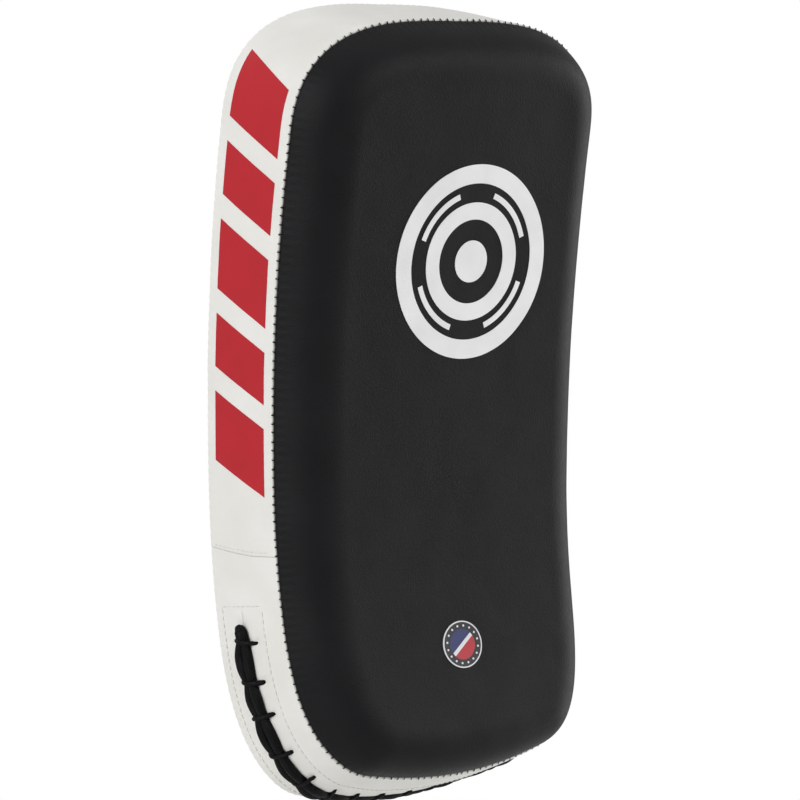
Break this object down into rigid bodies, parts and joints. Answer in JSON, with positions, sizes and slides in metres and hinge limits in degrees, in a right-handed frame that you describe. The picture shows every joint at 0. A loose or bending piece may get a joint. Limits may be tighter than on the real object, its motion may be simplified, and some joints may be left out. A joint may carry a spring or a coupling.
{
  "type": "thai pad",
  "caption": "Curved hand-held kick pad with laced leather cover, foam layers, two forearm straps and a hand grip.",
  "frame": {"origin": "middle of the forearm cushion's outer face, half way between the two straps, where the forearm rests", "axes": "+Z along the pad towards the hand grip end, -Y towards the side that takes the kicks, +Y towards the forearm side, X across"},
  "size_m": [0.2056, 0.169, 0.3963],
  "materials": {
    "black_leather": "fine-grained matt, black",
    "white_leather": "fine-grained satin, white",
    "back_leather": "fine-grained matt, black",
    "facing_leather": "flesh side, white",
    "strap_leather": "stitched matt, black",
    "black_lace": "round braided cord",
    "webbing": "woven nylon",
    "loop_pile": "loop pile",
    "hook_tape": "hook tape",
    "soft_foam": "open-cell foam",
    "firm_foam": "closed-cell EVA foam",
    "dense_foam": "dense EVA foam",
    "board": "polyethylene sheet",
    "steel": "nickel plated",
    "white_print": "heat-transfer film, white",
    "red_print": "heat-transfer film, red",
    "badge_print": "heat-transfer film, silver"
  },
  "bodies": {
    "root": {"front_cover": "black_leather", "side_band_upper": "white_leather", "side_band_lower": "white_leather", "lacing_facing": "facing_leather", "closure_lace": "black_lace", "back_cover": "back_leather", "impact_foam": "soft_foam", "shock_foam": "firm_foam", "support_foam": "dense_foam", "back_board": "board", "target_print": "white_print", "round_badge": "badge_print", "side_stripe_left": "red_print", "side_stripe_right": "red_print", "forearm_cushion_cover": "back_leather", "forearm_cushion_foam": "soft_foam", "grip_webbing": "webbing", "grip_sleeve": "black_leather", "grip_foam": "soft_foam", "grip_patch_left": "black_leather", "grip_patch_right": "black_leather", "strap_rivets": "steel", "anchor_rivets": "steel", "grip_rivets": "steel", "rivet_washers": "steel", "upper_strap_band": "strap_leather", "upper_ring_anchor": "strap_leather", "upper_loop_patch": "loop_pile", "lower_strap_band": "strap_leather", "lower_ring_anchor": "strap_leather", "lower_loop_patch": "loop_pile"},
    "upper_ring": {"upper_ring": "steel"},
    "upper_tab": {"upper_strap_tab": "strap_leather", "upper_hook_patch": "hook_tape"},
    "lower_ring": {"lower_ring": "steel"},
    "lower_tab": {"lower_strap_tab": "strap_leather", "lower_hook_patch": "hook_tape"}
  },
  "joints": [
    {"name": "upper_ring_swing", "type": "hinge", "parent": "root", "child": "upper_ring", "pos_m": [0.05525, -0.00743, 0.05524], "axis": [0, -0.0445, 0.999], "range_deg": [-6, 6]},
    {"name": "upper_tab_peel", "type": "hinge", "parent": "root", "child": "upper_tab", "pos_m": [0.06175, 0.00671, 0.05587], "axis": [0, 0.0445, -0.999], "range_deg": [0, 110]},
    {"name": "lower_ring_swing", "type": "hinge", "parent": "root", "child": "lower_ring", "pos_m": [0.05525, -0.00892, -0.05548], "axis": [0, 0.0977, 0.9952], "range_deg": [-6, 6]},
    {"name": "lower_tab_peel", "type": "hinge", "parent": "root", "child": "lower_tab", "pos_m": [0.06175, 0.00516, -0.05686], "axis": [0, -0.0977, -0.9952], "range_deg": [0, 110]}
  ]
}
